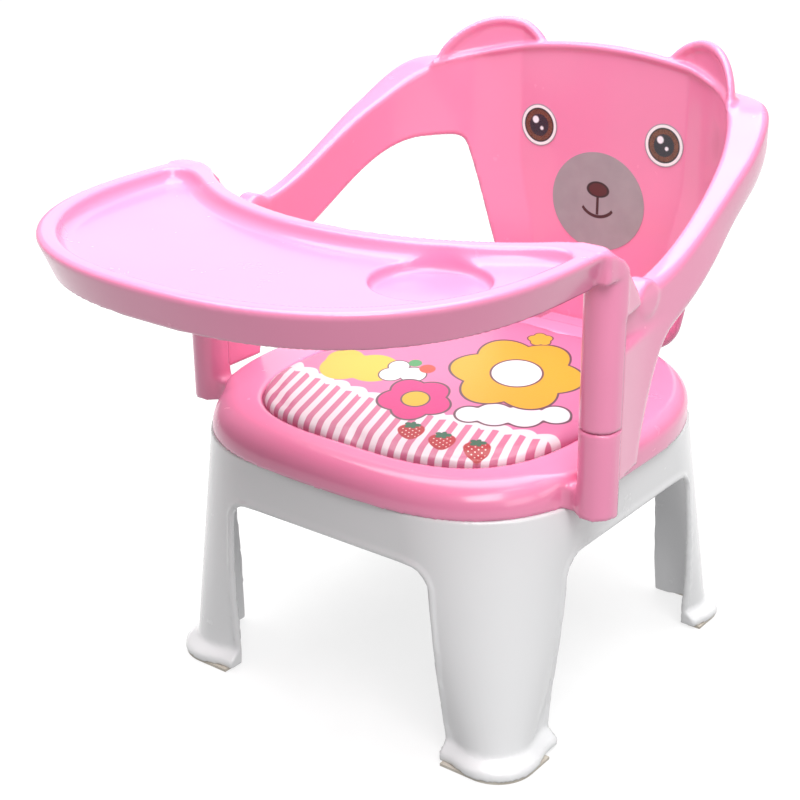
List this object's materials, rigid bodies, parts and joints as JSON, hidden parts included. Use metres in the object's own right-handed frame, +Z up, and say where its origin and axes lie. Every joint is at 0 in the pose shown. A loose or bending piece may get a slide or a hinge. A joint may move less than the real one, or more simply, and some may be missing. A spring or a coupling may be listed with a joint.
{
  "type": "baby high chair",
  "caption": "Low plastic chair for a toddler with a bear-faced backrest, wrap-round arms, a printed seat cushion, a lift-off food tray with a cup recess and a splayed stool base.",
  "frame": {"origin": "on the floor at the centre of the stool's four feet, on the chair's centre line", "axes": "+Z up, -Y the way the seated child faces and the tray reaches, +X the child's left"},
  "size_m": [0.36, 0.4986, 0.429],
  "materials": {
    "white_plastic": "glossy moulded polypropylene",
    "pink_plastic": "glossy moulded polypropylene",
    "cushion_print": "soft printed vinyl sheet, slightly shiny",
    "soft_filling": "soft filling, hidden inside the cover",
    "eye_sticker": "smooth printed film",
    "muzzle_sticker": "smooth printed film",
    "screw_steel": "plain zinc-coated steel",
    "pad_rubber": "soft matte rubber"
  },
  "bodies": {
    "chair": {"base_frame": "white_plastic", "foot_pad_front_left": "pad_rubber", "foot_pad_front_right": "pad_rubber", "foot_pad_rear_left": "pad_rubber", "foot_pad_rear_right": "pad_rubber", "seat_pan": "pink_plastic", "cushion_cover": "cushion_print", "cushion_filling": "soft_filling", "backrest": "pink_plastic", "eye_left": "eye_sticker", "eye_right": "eye_sticker", "muzzle_patch": "muzzle_sticker", "seat_screws": "screw_steel", "back_screws": "screw_steel"},
    "tray": {"tray": "pink_plastic"}
  },
  "joints": [
    {"name": "tray_lift", "type": "slide", "parent": "chair", "child": "tray", "axis": [0, 0, 1], "range_m": [0, 0.09]}
  ]
}
